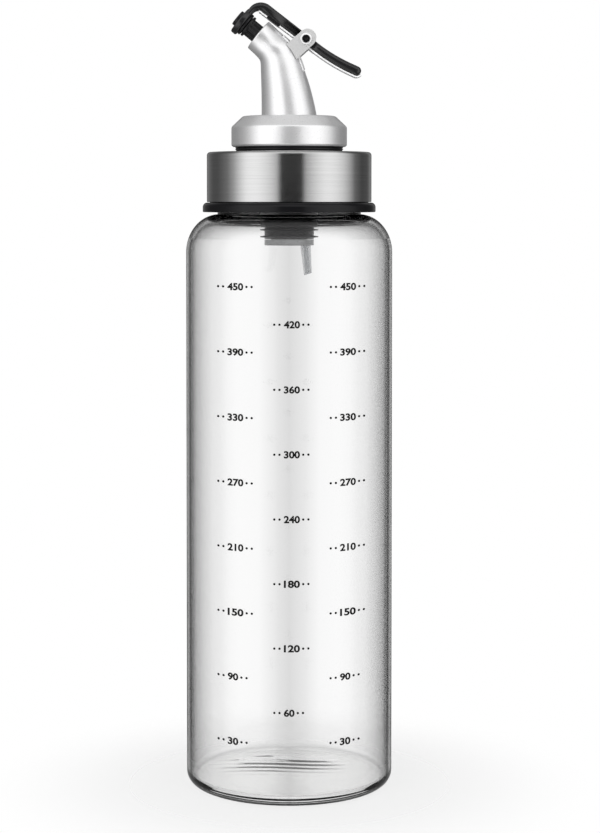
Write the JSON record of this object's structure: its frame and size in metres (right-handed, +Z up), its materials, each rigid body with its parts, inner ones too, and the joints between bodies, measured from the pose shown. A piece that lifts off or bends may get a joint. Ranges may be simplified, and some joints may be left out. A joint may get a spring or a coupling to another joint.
{
  "type": "oil dispenser bottle",
  "caption": "Tall clear glass oil dispenser bottle with a steel screw cap and a pull-out metal pourer closed by a sprung flip lever.",
  "frame": {"origin": "centre of the flat underside of the glass base", "axes": "+Z up along the bottle's axis; the nozzle points to -X and the lever's tail to +X"},
  "size_m": [0.065, 0.065, 0.2468],
  "materials": {
    "clear_glass": "clear, smooth, with printed black graduations",
    "clear_silicone": "translucent, soft",
    "black_plastic": "semi-gloss moulded",
    "gloss_black": "gloss moulded",
    "black_rubber": "matte moulded",
    "grey_plastic": "translucent",
    "brushed_steel": "brushed round the axis",
    "satin_silver": "satin plated",
    "matte_grey": "matte blasted",
    "bright_steel": "polished"
  },
  "bodies": {
    "bottle": {"glass_bottle": "clear_glass"},
    "seal": {"cap_gasket": "clear_silicone"},
    "ring": {"grip_ring": "black_plastic"},
    "cap": {"threaded_cap": "black_plastic", "steel_sleeve": "brushed_steel"},
    "pourer": {"silicone_stopper": "black_rubber", "stopper_core": "grey_plastic", "vent_tube": "grey_plastic", "pourer_base": "satin_silver", "spout_body": "satin_silver", "nozzle_tip": "black_rubber", "hinge_bracket": "matte_grey", "pivot_pin": "black_plastic", "pin_washer_front": "bright_steel", "pin_washer_back": "bright_steel", "return_spring": "bright_steel"},
    "flip_lever": {"lever": "gloss_black", "lever_strip": "bright_steel", "seal_button": "black_rubber"}
  },
  "joints": [
    {"name": "cap_lift_off", "type": "slide", "parent": "bottle", "child": "seal", "axis": [0, 0, 1], "range_m": [0, 0.06]},
    {"name": "thread_lift", "type": "slide", "parent": "seal", "child": "ring", "axis": [0, 0, 1], "range_m": [0, 0.0061]},
    {"name": "cap_turn", "type": "hinge", "parent": "ring", "child": "cap", "pos_m": [0, 0, 0.19], "axis": [0, 0, 1], "range_deg": [0, 540]},
    {"name": "pourer_pull", "type": "slide", "parent": "cap", "child": "pourer", "axis": [0, 0, 1], "range_m": [0, 0.045]},
    {"name": "lever_pivot", "type": "hinge", "parent": "pourer", "child": "flip_lever", "pos_m": [0.0053, 0, 0.23525], "axis": [0, 1, 0], "range_deg": [0, 35], "stiffness_Nm_per_rad": 0.06, "springref_deg": -20.05, "deforming": ["return_spring"]}
  ],
  "couplings": [
    {"joint": "thread_lift", "follows": "cap_turn", "m_per_rad": 0.00063662}
  ]
}
